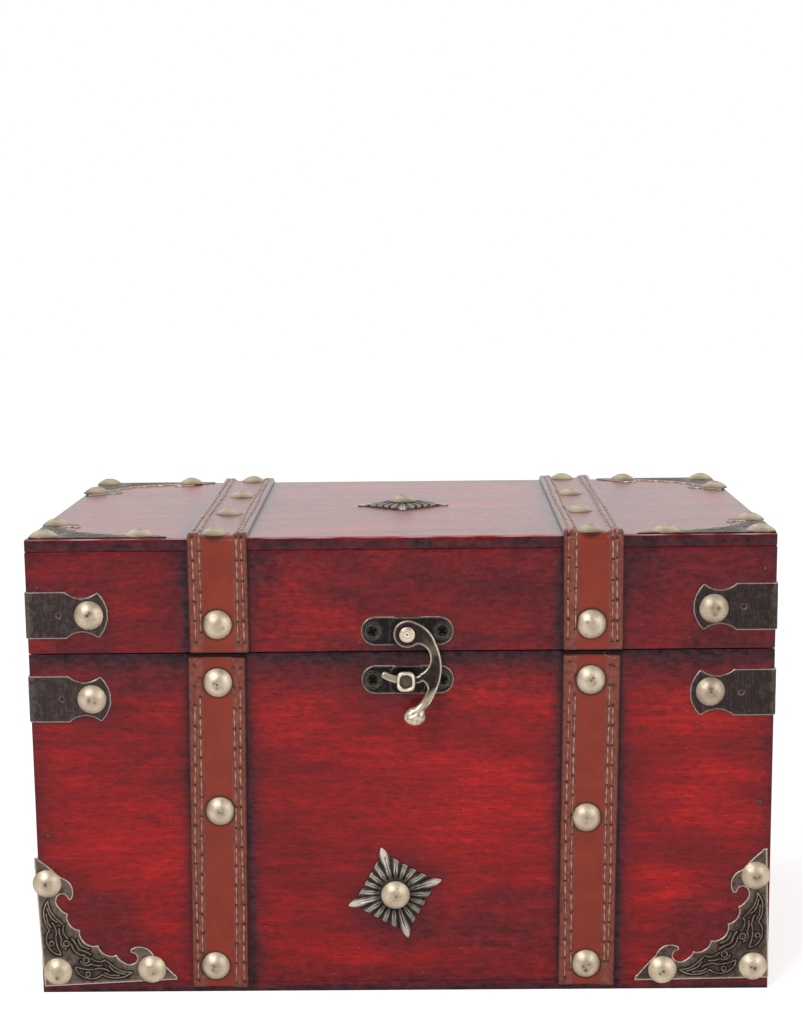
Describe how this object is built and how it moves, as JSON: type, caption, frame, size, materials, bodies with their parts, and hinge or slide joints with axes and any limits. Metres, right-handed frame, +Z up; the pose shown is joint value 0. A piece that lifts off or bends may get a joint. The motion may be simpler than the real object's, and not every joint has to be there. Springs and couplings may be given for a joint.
{
  "type": "treasure chest box",
  "caption": "Small wooden treasure chest with a hinged lid, leather straps, domed studs, corner brackets, edge clips, rosettes and a swing hook latch.",
  "frame": {"origin": "middle of the flat underside", "axes": "+X to the right as seen from the front, +Y from the front to the back, +Z up"},
  "size_m": [0.2256, 0.1746, 0.1421],
  "materials": {
    "red_wood": "dark-edged red stain under a satin varnish",
    "leather": "smooth russet leather with worn darker edges",
    "stud_brass": "pale antique brass with small dark pits",
    "bronzed_steel": "dark bronzed sheet with bright worn rims",
    "pressed_bracket_metal": "antique sheet with bright worn relief",
    "rosette_metal": "antique nickel, dark in the valleys",
    "latch_metal": "dark bronzed casting with bright worn edges",
    "hinge_metal": "dark bronzed sheet"
  },
  "bodies": {
    "base": {"base_back_left_edge_clip": "bronzed_steel", "base_back_panel": "red_wood", "base_back_right_edge_clip": "bronzed_steel", "base_back_strap_left": "leather", "base_back_strap_right": "leather", "base_bottom_board": "red_wood", "base_bracket_studs": "stud_brass", "base_clip_studs": "stud_brass", "base_front_left_edge_clip": "bronzed_steel", "base_front_panel": "red_wood", "base_front_right_edge_clip": "bronzed_steel", "base_front_strap_left": "leather", "base_front_strap_right": "leather", "base_hinge_screws": "hinge_metal", "base_left_corner_bracket": "pressed_bracket_metal", "base_left_panel": "red_wood", "base_panel_pins": "stud_brass", "base_right_corner_bracket": "pressed_bracket_metal", "base_right_panel": "red_wood", "base_rosette": "rosette_metal", "base_rosette_stud": "stud_brass", "base_strap_studs": "stud_brass", "catch_plate": "latch_metal", "catch_plate_screws": "latch_metal", "catch_post": "latch_metal", "hinge_base_leaf_left": "hinge_metal", "hinge_base_leaf_right": "hinge_metal", "hinge_pin_left": "hinge_metal", "hinge_pin_right": "hinge_metal"},
    "lid": {"hinge_lid_leaf_left": "hinge_metal", "hinge_lid_leaf_right": "hinge_metal", "hook_plate": "latch_metal", "hook_plate_screws": "latch_metal", "lid_back_left_corner_bracket": "pressed_bracket_metal", "lid_back_left_edge_clip": "bronzed_steel", "lid_back_panel": "red_wood", "lid_back_right_corner_bracket": "pressed_bracket_metal", "lid_back_right_edge_clip": "bronzed_steel", "lid_bracket_studs": "stud_brass", "lid_clip_studs": "stud_brass", "lid_front_left_corner_bracket": "pressed_bracket_metal", "lid_front_left_edge_clip": "bronzed_steel", "lid_front_panel": "red_wood", "lid_front_right_corner_bracket": "pressed_bracket_metal", "lid_front_right_edge_clip": "bronzed_steel", "lid_hinge_screws": "hinge_metal", "lid_left_panel": "red_wood", "lid_panel_pins": "stud_brass", "lid_right_panel": "red_wood", "lid_rosette": "rosette_metal", "lid_rosette_stud": "stud_brass", "lid_strap_left": "leather", "lid_strap_right": "leather", "lid_strap_studs": "stud_brass", "lid_top_board": "red_wood", "pivot_rivet": "latch_metal"},
    "hook": {"swing_hook": "latch_metal"}
  },
  "joints": [
    {"name": "lid_hinge", "type": "hinge", "parent": "base", "child": "lid", "pos_m": [0, 0.08185, 0.1045], "axis": [-1, 0, 0], "range_deg": [0, 100]},
    {"name": "hook_swing", "type": "hinge", "parent": "lid", "child": "hook", "pos_m": [0.00191, -0.0816, 0.1101], "axis": [0, -1, 0], "range_deg": [0, 110]}
  ]
}
